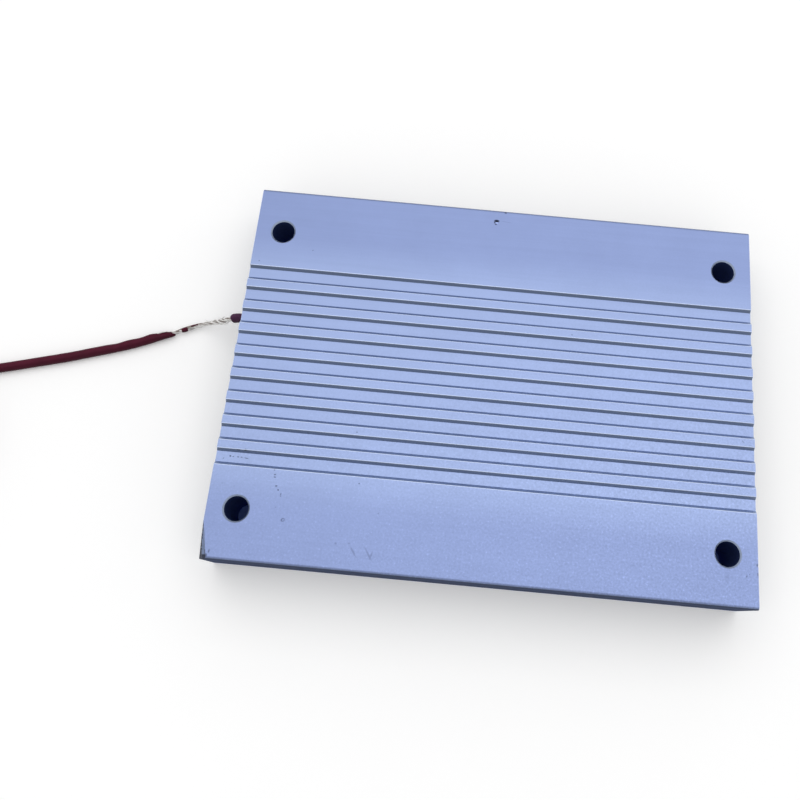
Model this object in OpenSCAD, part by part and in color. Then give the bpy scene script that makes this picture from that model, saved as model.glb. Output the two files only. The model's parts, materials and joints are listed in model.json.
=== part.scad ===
// Flat braking resistor: two wound mica cards, pressed between mica sheets in the
// chamber of a grooved aluminium profile that is sealed at both ends, with one lead.
// Millimetres. X runs along the profile, Z up, origin under the middle of the base.

/* [Profile] */
// Length of the cut profile
body_l = 110; // [100:1:180]
// Width of the profile
body_w = 80; // [70:1:120]
// Thickness of the profile
body_h = 15; // [12:0.5:25]
// Radius of the four long edges
edge_r = 0.7; // [0.2:0.1:1.5]
// Radius in the corners of the inner chamber
chamber_r = 0.4; // [0.2:0.1:0.5]

/* [Grooves] */
// Number of grooves in the upper face
groove_count = 9; // [3:2:11]
// Distance from one groove to the next
groove_pitch = 5; // [4:0.1:5.5]
// Width of a groove at the upper face
groove_w = 3.3; // [2:0.1:3.8]
// Depth of a groove
groove_depth = 0.65; // [0.3:0.05:1.5]
// How far each groove wall leans in from top to bottom
groove_lean = 0.6; // [0.1:0.05:0.9]

/* [Fixing holes] */
// Distance from the middle of a hole to the end of the profile
hole_end = 6; // [4:0.5:12]
// Distance from the middle of a hole to the side of the profile
hole_side = 10; // [4:0.5:12]
// Diameter of the holes
hole_d = 4.9; // [3:0.1:6]
// Width of the chamfer at both ends of a hole
hole_chamfer = 0.3; // [0.1:0.05:0.6]

/* [Crushed corner] */
// Length of the crushed facet along the end of the profile
dent_y = 7.5; // [2:0.5:12]
// Length of the crushed facet along the front of the profile
dent_x = 1.8; // [0.4:0.1:3]
// How far the facet reaches down the corner
dent_z = 2.2; // [0.5:0.1:4]

/* [Wound element] */
// Thickness of the upper and lower mica sheets
sheet_t = 1.1; // [0.8:0.1:1.6]
// Thickness of a winding card
card_t = 1.6; // [1.2:0.1:2.2]
// Width of a winding card over its notched edges
card_w = 20; // [15:0.5:21]
// Room between the two winding cards
card_gap = 2.5; // [1.5:0.1:3]
// Turns of resistance ribbon on each card
turns = 28; // [12:1:36]
// Width of the ribbon
ribbon_w = 1.2; // [0.6:0.1:1.6]
// Thickness of the ribbon
ribbon_t = 0.6; // [0.55:0.05:0.9]
// Thickness of the strips that line the chamber's sides
strip_t = 0.8; // [0.6:0.1:1.2]
// Length of the flat tab of a terminal lug on its card
tab_l = 5; // [3:0.5:8]
// Width of the flat tab of a terminal lug
tab_w = 6; // [3:0.5:10]
// Thickness of the lugs and of the link between the cards
tab_t = 0.5; // [0.3:0.05:0.5]
// Length of the crimp barrel of a terminal lug
barrel_l = 6; // [4:0.5:8]
// Width of the link that joins the two windings
link_w = 5; // [3:0.5:8]

/* [End seals] */
// Thickness of an end seal
seal_t = 7; // [4:0.5:10]
// How far a seal lies inside the end of the profile
seal_recess = 0.5; // [0.2:0.1:2]

/* [Lead] */
// Diameter over the lead's insulation
lead_d = 2.1; // [1.9:0.1:2.4]
// Diameter of the bare strands
strand_d = 1.3; // [0.8:0.1:1.6]
// Thickness of the tie round the coil
tie_t = 0.9; // [0.6:0.1:1.2]
// Width of the tie round the coil
tie_w = 2.5; // [1.5:0.1:4]
// Length of the ferrule on the lead's end
ferrule_l = 8; // [6:0.5:12]

/* [Hidden] */
$fn = 48;

// Clearance between pieces that slide together
fit = 0.1;
// Overrun of cutting shapes
over = 1;
// Flat sides round a stretch of the lead
lead_sides = 8;

// Heights of the pressed stack, from the chamber's floor upwards
mid_z = body_h / 2;
stack_h = card_t + 2 * ribbon_t;
chamber_h = stack_h + 2 * sheet_t;
card_top = mid_z + card_t / 2;
// Places across the chamber
card_y = (card_w + card_gap) / 2;
chamber_w = 2 * card_w + card_gap + 2 * strip_t + 4 * fit;
sheet_w = chamber_w - 2 * chamber_r;
// Places along the chamber
seal_in = body_l / 2 - seal_recess - seal_t;
card_x0 = -seal_in + barrel_l + fit;
card_x1 = seal_in - fit;
first_x = card_x0 + tab_l + ribbon_w / 2;
last_x = card_x1 - fit - link_w - ribbon_w / 2;
turn_pitch = (last_x - first_x) / (turns - 1);
link_x0 = last_x + ribbon_w / 2;
// The notches take the ribbon flush with the card's long edges
notch_y = card_w / 2 - ribbon_t;
notch_w = ribbon_w + fit;
// How far a lug's tab runs back over its barrel, and how much of it is in the barrel
tab_back = 1.5;
tab_sunk = 0.8 * tab_t;
barrel_d = 2 * (card_t / 2 + tab_sunk);

// Route of the lead from the seal's inner face: out of the end, down to the table
// and away along it to the coil, which lies on its tie
lead_z = lead_d / 2;
function out(d) = -body_l / 2 - d;
function down(share) = lead_z + share * (mid_z - lead_z);
function up(share) = lead_z + share * tie_t;
lead_route = [
    [-seal_in, card_y, mid_z], [out(0), card_y, mid_z],
    [out(2), card_y + 0.25, down(0.97)], [out(4), card_y + 0.1, down(0.86)],
    [out(6), card_y - 0.05, down(0.65)], [out(8), card_y - 0.05, down(0.36)],
    [out(10), card_y - 0.1, down(0.15)], [out(12), card_y - 0.45, down(0.04)],
    [out(14), card_y - 1.05, lead_z], [out(16), card_y - 1.95, lead_z],
    [out(18), card_y - 3.05, lead_z], [out(20), card_y - 3.75, lead_z],
    [out(23), card_y - 4.9, lead_z], [out(27), card_y - 6.5, lead_z],
    [out(31), card_y - 7.85, lead_z], [out(35), card_y - 9.1, lead_z],
    [out(40), card_y - 10.65, lead_z], [out(46), card_y - 12.3, lead_z],
    [out(51), card_y - 13.65, lead_z], [out(55), card_y - 14.7, lead_z],
    [out(59), card_y - 15.75, up(0.1)], [out(64), card_y - 16.85, up(0.5)],
    [out(71), card_y - 17.75, up(1)]
];
// Where the insulation stops, where it starts again, and the coil's near side
bare_from = 3;
bare_to = 10;
run_to = 21;
// Coil of the rest of the lead, two layers of turns that the route runs into
coil_turn_r = 15.5;
coil_inner_r = 9.5;
coil_at = [out(71), card_y - 17.75 - coil_turn_r];
coil_out_r = coil_turn_r + lead_z;
coil_in_r = coil_inner_r - lead_z;
coil_h = 2 * lead_d;
// The end of the lead comes down beside the coil to its ferrule
ferrule_r = 1.4;
tail_x = out(84.8 + lead_z);
tail_route = [
    [tail_x, card_y - 37.25, 4.2], [tail_x, card_y - 42.7, 3.1],
    [tail_x, card_y - 45.25, 2], [tail_x, card_y - 47.5, ferrule_r],
    [tail_x, card_y - 49.25, ferrule_r]
];

function unit(v) = v / norm(v);
// Direction of a route at its point i
function along(route, i) =
    unit(route[min(i + 1, len(route) - 1)] - route[max(i - 1, 0)]);
// Ring of points round a route at its point i
function ring(route, i, r) =
    let (t = along(route, i), n = unit(cross([0, 0, 1], t)), b = cross(t, n))
    [for (k = [0:lead_sides - 1])
        let (a = 360 * k / lead_sides)
        route[i] + r * (cos(a) * n + sin(a) * b)];

// Closed tube along a route from its point a to its point b
module tube(route, a, b, r) {
    m = lead_sides;
    rows = b - a;
    points = [for (i = [a:b]) each ring(route, i, r)];
    walls = [for (i = [0:rows - 1], k = [0:m - 1])
        let (j = (k + 1) % m, row = i * m, next = row + m)
        each [[row + k, next + k, next + j], [row + k, next + j, row + j]]];
    near = [for (k = [0:m - 1]) k];
    far = [for (k = [m - 1:-1:0]) rows * m + k];
    polyhedron(points, concat(walls, [near], [far]));
}

// Rectangle with round corners, centred
module rounded_rect(w, h, r) {
    square([w - 2 * r, h], center = true);
    square([w, h - 2 * r], center = true);
    for (sx = [-1, 1], sy = [-1, 1])
        translate([sx * (w / 2 - r), sy * (h / 2 - r)]) circle(r);
}

// Turns a section drawn as Y and Z into a bar along X, from x0 to x1
module bar_x(x0, x1) {
    translate([x0, 0, 0]) rotate([90, 0, 90]) linear_extrude(x1 - x0) children();
}

// Block between two opposite corners
module block(low, high) {
    translate(low) cube(high - low);
}

module groove_section() {
    polygon([
        [-groove_w / 2, over], [-groove_w / 2, 0],
        [-groove_w / 2 + groove_lean, -groove_depth],
        [groove_w / 2 - groove_lean, -groove_depth],
        [groove_w / 2, 0], [groove_w / 2, over]
    ]);
}

module housing_section() {
    difference() {
        translate([0, body_h / 2]) rounded_rect(body_w, body_h, edge_r);
        translate([0, mid_z]) rounded_rect(chamber_w, chamber_h, chamber_r);
        for (k = [0:groove_count - 1])
            translate([(k - (groove_count - 1) / 2) * groove_pitch, body_h])
                groove_section();
    }
}

module fixing_hole() {
    translate([0, 0, -over]) cylinder(d = hole_d, h = body_h + 2 * over);
    for (top = [0, 1])
        translate([0, 0, top * body_h]) mirror([0, 0, top])
            cylinder(d1 = hole_d + 2 * hole_chamfer, d2 = hole_d, h = hole_chamfer);
}

// Corner block whose slanted side is the facet that a knock left on the profile
module crushed_corner() {
    e = over;
    reach_x = dent_x * (1 + e / dent_y + e / dent_z);
    reach_y = dent_y * (1 + e / dent_x + e / dent_z);
    reach_z = dent_z * (1 + e / dent_x + e / dent_y);
    translate([-body_l / 2, -body_w / 2, body_h])
        polyhedron(
            [[-e, -e, e], [reach_x, -e, e], [-e, reach_y, e], [-e, -e, -reach_z]],
            [[0, 2, 1], [0, 1, 3], [0, 3, 2], [1, 2, 3]]);
}

module housing() {
    color("lightsteelblue") difference() {
        bar_x(-body_l / 2, body_l / 2) housing_section();
        for (sx = [-1, 1], sy = [-1, 1])
            translate([sx * (body_l / 2 - hole_end), sy * (body_w / 2 - hole_side), 0])
                fixing_hole();
        crushed_corner();
    }
}

module mica_sheet(z) {
    block([-seal_in + fit, -sheet_w / 2, z], [seal_in - fit, sheet_w / 2, z + sheet_t]);
}

module upper_sheet() {
    color("tan") mica_sheet(mid_z + stack_h / 2);
}

module lower_sheet() {
    color("tan") mica_sheet(mid_z - chamber_h / 2);
}

// Mica card with a notch for each turn in both long edges, side 1 back, -1 front
module winding_card(side) {
    h = card_w / 2;
    notch = [for (k = [0:turns - 1]) first_x + k * turn_pitch];
    back = [for (x = notch) each
        [[x - notch_w / 2, h], [x - notch_w / 2, notch_y],
         [x + notch_w / 2, notch_y], [x + notch_w / 2, h]]];
    count = len(back);
    front = [for (i = [0:count - 1])
        [back[count - 1 - i][0], -back[count - 1 - i][1]]];
    translate([0, side * card_y, mid_z - card_t / 2])
        linear_extrude(card_t)
            polygon(concat([[card_x0, -h], [card_x0, h]], back,
                           [[card_x1, h], [card_x1, -h]], front));
}

module back_card() {
    color("burlywood") winding_card(1);
}

module front_card() {
    color("burlywood") winding_card(-1);
}

// Flat ribbon wound round a card: straight over the top, one pitch on underneath
module winding(side) {
    h = card_t / 2;
    corners = [for (k = [0:turns - 1])
        let (x = first_x + k * turn_pitch)
        each k < turns - 1
            ? [[x, -1, 1], [x, 1, 1], [x, 1, -1], [x + turn_pitch, -1, -1]]
            : [[x, -1, 1], [x, 1, 1]]];
    function corner_at(c, dx, t) = [c[0] + dx, c[1] * (notch_y + t), c[2] * (h + t)];
    points = [for (c = corners) each
        [corner_at(c, -ribbon_w / 2, 0), corner_at(c, ribbon_w / 2, 0),
         corner_at(c, ribbon_w / 2, ribbon_t), corner_at(c, -ribbon_w / 2, ribbon_t)]];
    rows = len(corners) - 1;
    walls = [for (i = [0:rows - 1], k = [0:3])
        let (j = (k + 1) % 4, row = 4 * i, next = row + 4)
        each [[row + k, row + j, next + j], [row + k, next + j, next + k]]];
    caps = [[3, 2, 1, 0], [for (k = [0:3]) 4 * rows + k]];
    translate([0, side * card_y, mid_z]) polyhedron(points, concat(walls, caps));
}

module back_winding() {
    color("dimgray") winding(1);
}

module front_winding() {
    color("dimgray") winding(-1);
}

module centre_strip() {
    w = card_gap - 4 * fit;
    color("tan") block([-seal_in + fit, -w / 2, mid_z - stack_h / 2],
                       [link_x0 - fit, w / 2, mid_z + stack_h / 2 - fit]);
}

module side_strip(side) {
    inner = card_gap / 2 + card_w + fit;
    outer = inner + strip_t;
    y0 = side > 0 ? inner : -outer;
    block([-seal_in + fit, y0, mid_z - stack_h / 2],
          [seal_in - fit, y0 + strip_t, mid_z + stack_h / 2 - fit]);
}

module back_side_strip() {
    color("tan") side_strip(1);
}

module front_side_strip() {
    color("tan") side_strip(-1);
}

// Strip that joins the far ends of the two windings
module series_link() {
    half = card_y + tab_w / 2;
    color("silver") block([link_x0, -half, card_top],
                          [link_x0 + link_w, half, card_top + tab_t]);
}

// Crimp barrel with a flat tab that lies on the card against the first turn
module terminal_lug(side) {
    y = side * card_y;
    block([card_x0 - tab_back, y - tab_w / 2, card_top],
          [card_x0 + tab_l, y + tab_w / 2, card_top + tab_t]);
    translate([-seal_in, y, mid_z]) rotate([0, 90, 0])
        cylinder(d = barrel_d, h = barrel_l);
}

module lead_lug() {
    color("silver") terminal_lug(1);
}

module second_lug() {
    color("silver") terminal_lug(-1);
}

module seal_section() {
    translate([0, mid_z])
        rounded_rect(chamber_w - 2 * fit, chamber_h - 2 * fit, chamber_r);
}

module left_seal() {
    color("dimgray") difference() {
        bar_x(-seal_in - seal_t, -seal_in) seal_section();
        for (side = [-1, 1])
            translate([-seal_in - seal_t - over, side * card_y, mid_z])
                rotate([0, 90, 0])
                    cylinder(d = lead_d + 2 * fit, h = seal_t + 2 * over);
    }
}

module right_seal() {
    color("dimgray") bar_x(seal_in, seal_in + seal_t) seal_section();
}

module lead_stub() {
    color("maroon") tube(lead_route, 0, bare_from, lead_d / 2);
}

module bare_strands() {
    color("silver") tube(lead_route, bare_from, bare_to, strand_d / 2);
}

module lead_run() {
    color("maroon") tube(lead_route, bare_to, run_to, lead_d / 2);
}

module lead_coil() {
    color("maroon") translate([coil_at[0], coil_at[1], tie_t])
        rotate_extrude()
            translate([(coil_out_r + coil_in_r) / 2, coil_h / 2])
                rounded_rect(coil_out_r - coil_in_r, coil_h, lead_z);
}

module lead_tail() {
    color("maroon") tube(tail_route, 1, len(tail_route) - 1, lead_d / 2);
}

// Flat strap round the turns, with its locking head on top
module coil_tie() {
    low = [coil_at[0] - tie_w / 2, coil_at[1] - coil_out_r - fit, tie_t - fit];
    high = [coil_at[0] + tie_w / 2, coil_at[1] - coil_in_r + fit, tie_t + coil_h + fit];
    wall = [0, tie_t - fit, tie_t - fit];
    head = [1.8, 1.6, 1] * tie_w;
    head_at = [coil_at[0], (low[1] + high[1]) / 2, high[2] + wall[2]];
    color("black") {
        difference() {
            block(low - wall, high + wall);
            block(low - [over, 0, 0], high + [over, 0, 0]);
        }
        block(head_at - [head[0] / 2, head[1] / 2, 0],
              head_at + [head[0] / 2, head[1] / 2, head[2]]);
    }
}

// Crimped sleeve with a flared mouth, on the end of the lead
module end_ferrule() {
    sleeve_wall = 0.25;
    sleeve_r = strand_d / 2 + sleeve_wall;
    flare = 2;
    color("silver") translate(tail_route[len(tail_route) - 1])
        rotate([90, 0, 0])
            rotate_extrude()
                polygon([
                    [0, 0], [ferrule_r, 0], [ferrule_r, flare / 2],
                    [sleeve_r, flare], [sleeve_r, ferrule_l], [0, ferrule_l]
                ]);
}

housing();
upper_sheet();
lower_sheet();
back_card();
front_card();
back_winding();
front_winding();
centre_strip();
back_side_strip();
front_side_strip();
series_link();
lead_lug();
second_lug();
left_seal();
right_seal();
lead_stub();
bare_strands();
lead_run();
lead_coil();
lead_tail();
coil_tie();
end_ferrule();
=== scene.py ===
import json
import math
import random
from types import SimpleNamespace

import bmesh
import bpy
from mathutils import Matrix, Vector, noise


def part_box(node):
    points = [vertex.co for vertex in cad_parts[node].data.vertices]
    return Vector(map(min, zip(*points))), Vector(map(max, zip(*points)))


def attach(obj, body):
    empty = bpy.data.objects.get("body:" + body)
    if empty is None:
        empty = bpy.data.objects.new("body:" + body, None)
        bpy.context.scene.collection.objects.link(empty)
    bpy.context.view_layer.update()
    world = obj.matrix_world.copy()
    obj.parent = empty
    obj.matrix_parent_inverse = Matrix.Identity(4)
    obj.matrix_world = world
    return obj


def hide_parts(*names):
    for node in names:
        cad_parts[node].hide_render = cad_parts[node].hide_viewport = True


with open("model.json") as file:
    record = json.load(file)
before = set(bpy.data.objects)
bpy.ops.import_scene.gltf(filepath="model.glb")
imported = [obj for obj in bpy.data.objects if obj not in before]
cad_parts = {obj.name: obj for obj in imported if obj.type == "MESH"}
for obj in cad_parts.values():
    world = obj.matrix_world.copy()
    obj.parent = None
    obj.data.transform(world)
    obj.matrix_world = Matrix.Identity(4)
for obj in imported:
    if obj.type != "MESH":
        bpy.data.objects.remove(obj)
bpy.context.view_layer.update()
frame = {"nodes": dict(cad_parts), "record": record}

bl_info = {
    "name": "Flat braking resistor",
    "version": (1, 0, 0),
    "blender": (4, 5, 0),
    "location": "View3D > Sidebar > Resistor",
    "description": "Builds a flat braking resistor: grooved housing, sealed ends and a worn lead",
    "category": "Add Mesh",
}

BODY = "root"
FINISH = "finish_"
MM = 0.001
# Places nearer to each other than this, in millimetres, are one place
NEAR = 1e-3
# Least share along an axis for a face that looks that way, and for an edge that runs that way
FACING = 0.9
PARALLEL = 0.999
# How far a cutter reaches past what it cuts, in millimetres
PAST = 1

# Names of the finishes, in the order in which a piece's faces number them
HOUSING_FINISHES = (
    "anodised",
    "shaded_flank",
    "broken_edge_highlight",
    "chamfer",
    "bore",
    "sawn_end",
    "crushed_metal_and_shade",
    "scuffed_skin",
)
LEAD_FINISHES = ("insulation", "core")
LEAD_NODES = ("lead_stub", "bare_strands", "lead_run", "lead_coil", "lead_tail")


def box_mm(node):
    """Lowest and highest corner of a CAD node, in millimetres."""
    low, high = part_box(node)
    return low / MM, high / MM


def srgb(red, green, blue):
    """Linear colour of a colour that is written as it looks on a screen, 0 to 255."""
    shares = [c / 255 for c in (red, green, blue)]
    return tuple(s / 12.92 if s <= 0.04045 else ((s + 0.055) / 1.055) ** 2.4 for s in shares)


# Properties


def length(name, description, millimetres):
    """Length property, given in millimetres and kept in metres."""
    return bpy.props.FloatProperty(
        name=name, description=description, default=millimetres * MM, min=0, precision=5, unit="LENGTH"
    )


def colour(name, description, default):
    """Colour property, given as a linear colour."""
    return bpy.props.FloatVectorProperty(
        name=name, description=description, default=default, min=0, max=1, size=3, subtype="COLOR"
    )


HOUSING_LOW, HOUSING_HIGH = box_mm("housing")
SEAL_HIGH = box_mm("right_seal")[1]
HOLES = next(m for m in frame["record"]["mounts"] if m["name"] == "fixing_holes")["dims"]


class ResistorSizes(bpy.types.PropertyGroup):
    """Sizes of the housing, its seals and the lead"""

    body_l: length("Length", "Length of the cut profile", HOUSING_HIGH.x - HOUSING_LOW.x)
    body_w: length("Width", "Width of the profile", HOUSING_HIGH.y - HOUSING_LOW.y)
    body_h: length("Thickness", "Thickness of the profile", HOUSING_HIGH.z - HOUSING_LOW.z)
    edge_r: length("Edge radius", "Radius of the four long edges", 0.7)
    groove_count: bpy.props.IntProperty(
        name="Grooves", description="Number of grooves in the upper face", default=9, min=1
    )
    groove_pitch: length("Groove pitch", "Distance from one groove to the next", 5)
    groove_w: length("Groove width", "Width of a groove at the upper face", 3.3)
    groove_depth: length("Groove depth", "Depth of a groove", 0.65)
    groove_lean: length("Groove lean", "How far each groove wall leans in", 0.6)
    hole_span_x: length("Hole span along", "Distance between holes along", HOLES["spacing_x_mm"])
    hole_span_y: length("Hole span across", "Distance between holes across", HOLES["spacing_y_mm"])
    hole_r: length("Hole radius", "Radius of the fixing holes", HOLES["hole_r_mm"])
    hole_chamfer: length("Hole chamfer", "Width of the chamfer on the holes", 0.3)
    chamber_fit: length("Seal clearance", "Room between a seal and the chamber's wall", 0.1)
    chamber_r: length("Chamber radius", "Radius in the corners of the chamber", 0.4)
    break_w: length("Edge break", "Width of the broken edges of the profile", 0.08)
    dent_x: length("Dent along front", "Length of the crushed facet along the front", 1.8)
    dent_y: length("Dent along end", "Length of the crushed facet along the end", 7.5)
    dent_z: length("Dent depth", "How far the crushed facet reaches down", 2.2)
    lead_d: length("Lead diameter", "Diameter over the lead's insulation", 2.1)
    core_d: length("Core diameter", "Diameter of the lead's inner strands", 0.84)
    strand_d: length("Strand diameter", "Diameter of one loose strand", 0.26)
    lead_l: length("Lead length", "Length of the whole lead", 500)


class ResistorColours(bpy.types.PropertyGroup):
    """Colours of the finishes"""

    anodised: colour("Anodised", "Anodised aluminium of the profile", srgb(135, 150, 193))
    # Painted light makes the grooved field lighter than the margins
    field: colour("Grooved field", "Anodised lands and floors of the grooves", srgb(149, 165, 205))
    # Painted shade darkens the groove walls
    shaded_walls: colour("Groove walls", "Anodised walls of the grooves", srgb(116, 129, 155))
    # Painted shade darkens the flanks and their round edges
    shaded_flank: colour("Flanks", "Anodised sides of the profile with their round edges", srgb(84, 90, 110))
    # Painted highlight: the broken edges are lightened as they look where they catch the light
    edge: colour("Broken edges", "Rubbed edges of the grooves and ends", srgb(205, 218, 246))
    # Bare metal, lightened with a painted highlight
    bare: colour("Bare metal", "Bare aluminium in the chamfers", srgb(174, 188, 214))
    # Painted shade: the bores are painted near black
    bore: colour("Bores", "Dark bores of the fixing holes", srgb(58, 74, 128))
    sawn: colour("Sawn ends", "Sawn aluminium of both ends", srgb(140, 147, 162))
    scuffed: colour("Scuffed skin", "Anodised skin in the crushed corner", srgb(134, 148, 180))
    # Partly painted shade: the crushed metal is darkened as the steep crushed faces look in shade
    crushed: colour("Crushed metal", "Dark scuffed aluminium in the crushed corner", srgb(62, 67, 84))
    insulation: colour("Insulation", "Silicone of the lead", srgb(75, 19, 39))
    # Painted light: the insulation by the outlet is tinted as it looks in bluish light
    outlet: colour("Insulation at the outlet", "Silicone that heat has faded", srgb(72, 41, 68))
    strands: colour("Strands", "Tinned strands of the lead", srgb(231, 230, 228))
    # Painted shade: the core is darkened so that the gaps between the strands look shaded
    core: colour("Core", "Stained inner strands of the lead", srgb(132, 122, 117))
    seal: colour("Seal", "Cast silicone in the chamber's mouths", srgb(70, 70, 72))
    mica: colour("Mica", "Mica sheets, cards and strips", srgb(196, 176, 138))
    ribbon: colour("Ribbon", "Resistance ribbon", srgb(150, 144, 138))
    tinned: colour("Tinned", "Tinned lugs, link and ferrule", srgb(205, 205, 200))
    tie: colour("Tie", "Moulded tie round the coil", srgb(30, 30, 31))


def sizes_mm(context):
    """The sizes in millimetres, with counts as they are."""
    group = context.scene.resistor_sizes
    values = {name: getattr(group, name) for name in ResistorSizes.__annotations__}
    return SimpleNamespace(
        **{name: v if isinstance(v, int) else v / MM for name, v in values.items()}
    )


# Modelling by hand, in millimetres


def choose(piece):
    """Makes a piece the only selected one, and the active one."""
    bpy.ops.object.select_all(action="DESELECT")
    piece.select_set(True)
    bpy.context.view_layer.objects.active = piece


def add(primitive, **settings):
    """Adds a primitive with nothing else selected, its place kept in its mesh."""
    bpy.ops.object.select_all(action="DESELECT")
    primitive(**settings)
    bpy.ops.object.transform_apply(location=True, rotation=True, scale=True)
    return bpy.context.object


def add_block(low, high):
    """Adds a block between two opposite corners."""
    low, high = Vector(low), Vector(high)
    return add(
        bpy.ops.mesh.primitive_cube_add, size=1, location=(low + high) / 2, scale=high - low
    )


def edit(piece):
    """Opens a piece in edit mode, with all of it selected."""
    choose(piece)
    bpy.ops.object.mode_set(mode="EDIT")
    bpy.ops.mesh.select_all(action="SELECT")


def close():
    """Leaves edit mode."""
    bpy.ops.object.mode_set(mode="OBJECT")


def open_mesh():
    """The mesh that is open in edit mode."""
    return bmesh.from_edit_mesh(bpy.context.object.data)


def middle(part):
    """Middle of an edge or a face."""
    return sum((v.co for v in part.verts), Vector()) / len(part.verts)


def pick(kind, test):
    """Selects in edit mode only the vertices, edges or faces that pass a test."""
    bpy.ops.mesh.select_mode(type=kind)
    bpy.ops.mesh.select_all(action="DESELECT")
    mesh = open_mesh()
    for part in {"VERT": mesh.verts, "EDGE": mesh.edges, "FACE": mesh.faces}[kind]:
        if test(part):
            part.select_set(True)
    mesh.select_flush_mode()
    bmesh.update_edit_mesh(bpy.context.object.data)


def runs_along(edge, axis):
    """Whether an edge is parallel to an axis."""
    line = edge.verts[1].co - edge.verts[0].co
    return abs(line[axis]) > PARALLEL * line.length


def bell(value, at, half):
    """Smooth hump: 1 at its place, about a third a half width away, and soon nothing beyond."""
    return math.exp(-(((value - at) / half) ** 2))


def apply(piece, kind, **settings):
    """Adds a modifier to a piece and applies it."""
    modifier = piece.modifiers.new(kind.lower(), kind)
    for name, value in settings.items():
        setattr(modifier, name, value)
    bpy.context.view_layer.objects.active = piece
    bpy.ops.object.modifier_apply(modifier=modifier.name)


def cut(piece, cutter):
    """Takes a cutter's shape out of a piece, and removes the cutter."""
    apply(piece, "BOOLEAN", object=cutter, operation="DIFFERENCE", solver="EXACT")
    bpy.data.objects.remove(cutter)


def smooth(piece, degrees):
    """Smooth shading up to an angle, with the flat faces kept flat."""
    choose(piece)
    bpy.ops.object.shade_smooth_by_angle(angle=math.radians(degrees))
    apply(piece, "WEIGHTED_NORMAL", keep_sharp=True)


def coat(piece, *finishes):
    """Gives a piece its finishes, in the order in which its faces number them."""
    for finish in finishes:
        piece.data.materials.append(bpy.data.materials[FINISH + finish])


def settle(piece, name, slot, *nodes):
    """Takes a finished piece to metres and lets it ride on the body, in place of CAD nodes."""
    choose(piece)
    piece.scale = (MM, MM, MM)
    bpy.ops.object.transform_apply(location=False, rotation=False, scale=True)
    mount(piece, name, slot, *nodes)


def mount(piece, name, slot, *nodes):
    """Names a piece that is in metres and lets it ride on the body, in place of CAD nodes."""
    piece.name = piece.data.name = name
    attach(piece, BODY)
    if nodes:
        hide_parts(*nodes)


# Housing


def groove_middles(size):
    """Places of the grooves across the upper face."""
    half = (size.groove_count - 1) / 2
    return [(k - half) * size.groove_pitch for k in range(size.groove_count)]


def hole_places(size):
    """Axes of the fixing holes, as X and Y."""
    return [
        Vector((sx * size.hole_span_x / 2, sy * size.hole_span_y / 2))
        for sx in (-1, 1)
        for sy in (-1, 1)
    ]


def by_hole(at, reach, size):
    """Whether a point lies within a reach of the axis of a fixing hole."""
    return any((at.xy - place).length < reach for place in hole_places(size))


def cut_grooves(size):
    """Cuts the upper face along every groove's edges and lowers the floors between them."""
    half = size.groove_w / 2
    floor_half = half - size.groove_lean
    for y in groove_middles(size):
        for offset in (-half, -floor_half, floor_half, half):
            pick("FACE", lambda f: f.normal.z > FACING)
            bpy.ops.mesh.bisect(plane_co=(0, y + offset, size.body_h), plane_no=(0, 1, 0))

    def is_floor(face):
        nearest = min(abs(middle(face).y - y) for y in groove_middles(size))
        return face.normal.z > FACING and nearest < floor_half

    pick("FACE", is_floor)
    bpy.ops.transform.translate(value=(0, 0, -size.groove_depth))


def round_long_edges(radius, segments):
    """Rounds a block's four edges along X."""
    low = min(v.co.z for v in open_mesh().verts)
    high = max(v.co.z for v in open_mesh().verts)
    side = max(v.co.y for v in open_mesh().verts)

    def is_corner(edge):
        at = middle(edge)
        on_side = abs(abs(at.y) - side) < NEAR
        return on_side and min(at.z - low, high - at.z) < NEAR and runs_along(edge, 0)

    pick("EDGE", is_corner)
    bpy.ops.mesh.bevel(offset=radius, segments=segments, affect="EDGES")


def bevel_flat(width, finish):
    """Bevels the picked edges by one flat face each, with a finish of its own."""
    bpy.ops.mesh.bevel(
        offset=width,
        segments=1,
        affect="EDGES",
        loop_slide=False,
        material=HOUSING_FINISHES.index(finish),
    )


def break_edges(size):
    """Breaks the profile's sharp outer edges a little, apart from those of the holes, and gives them a
    painted highlight.
    """
    hole_reach = size.hole_r + 2 * size.hole_chamfer
    sharp_from = math.radians(30)

    def is_sharp(edge):
        if by_hole(middle(edge), hole_reach, size):
            return False
        return edge.is_manifold and edge.is_convex and edge.calc_face_angle() > sharp_from

    pick("EDGE", is_sharp)
    bevel_flat(size.break_w, "broken_edge_highlight")


def chamfer_holes(size):
    """Chamfers both ends of the fixing holes: light bare metal with a painted highlight at the top,
    and painted shade at the bottom.
    """
    slack = 0.01

    def is_rim(edge, z):
        return abs(middle(edge).z - z) < NEAR and all(
            any(abs((v.co.xy - place).length - size.hole_r) < slack for place in hole_places(size))
            for v in edge.verts
        )

    for z, finish in ((0, "bore"), (size.body_h, "chamfer")):
        pick("EDGE", lambda edge, z=z: is_rim(edge, z))
        bevel_flat(size.hole_chamfer, finish)


def mark_faces(size):
    """Gives the sawn ends, the long sides with their round edges, and the bores their finishes, the
    last two painted shade.
    """
    side_from = size.body_w / 2 - size.edge_r
    # Shares of a face's normal: most upward in a bore, least along X at an end, most upward on a side
    bore_tilt, end_facing, side_tilt = 0.1, 0.99, 0.7
    for face in open_mesh().faces:
        at, facing = middle(face), face.normal
        # Bores are painted near black as shade
        if abs(facing.z) < bore_tilt and by_hole(at, size.hole_r, size):
            finish = "bore"
        elif abs(facing.x) > end_facing:
            finish = "sawn_end"
        # The sides get painted shade
        elif abs(at.y) > side_from and abs(facing.z) < side_tilt:
            finish = "shaded_flank"
        else:
            continue
        face.material_index = HOUSING_FINISHES.index(finish)
    bmesh.update_edit_mesh(bpy.context.object.data)


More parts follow.
